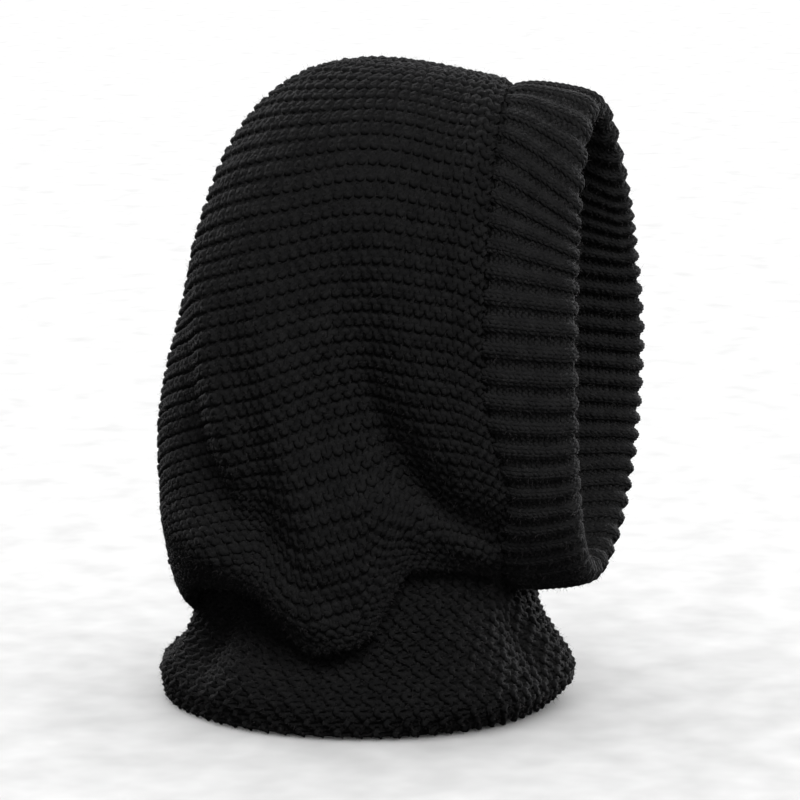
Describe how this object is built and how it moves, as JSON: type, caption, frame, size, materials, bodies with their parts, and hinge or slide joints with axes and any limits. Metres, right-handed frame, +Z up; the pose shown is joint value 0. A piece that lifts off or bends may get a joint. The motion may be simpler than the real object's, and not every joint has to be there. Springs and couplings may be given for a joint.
{
  "type": "balaclava",
  "caption": "Chunky knitted wool balaclava hood with an open face, a doubled rib band round the face and a flared neck collar to stand on.",
  "frame": {"origin": "on the level that the collar's hem rests on, under the middle of the hood's overall box", "axes": "-Y is the way the wearer faces, +X is the wearer's left side, +Z is up"},
  "size_m": [0.1918, 0.245, 0.3407],
  "materials": {
    "wool_hood_knit": "black chunky wool in ridged garter knit, matt and slightly fuzzy",
    "wool_rib_knit": "black chunky wool in two by two rib, matt and slightly fuzzy",
    "wool_moss_knit": "black chunky wool in moss stitch, matt and slightly fuzzy",
    "wool_linking_yarn": "single black wool yarn of the linked seams"
  },
  "bodies": {
    "root": {"hood_panel": "wool_hood_knit", "crown_seam": "wool_linking_yarn", "face_band": "wool_rib_knit", "face_band_end_seam": "wool_linking_yarn", "face_band_linking": "wool_linking_yarn", "neck_collar": "wool_moss_knit", "collar_back_seam": "wool_linking_yarn", "neck_linking": "wool_linking_yarn"}
  },
  "joints": []
}
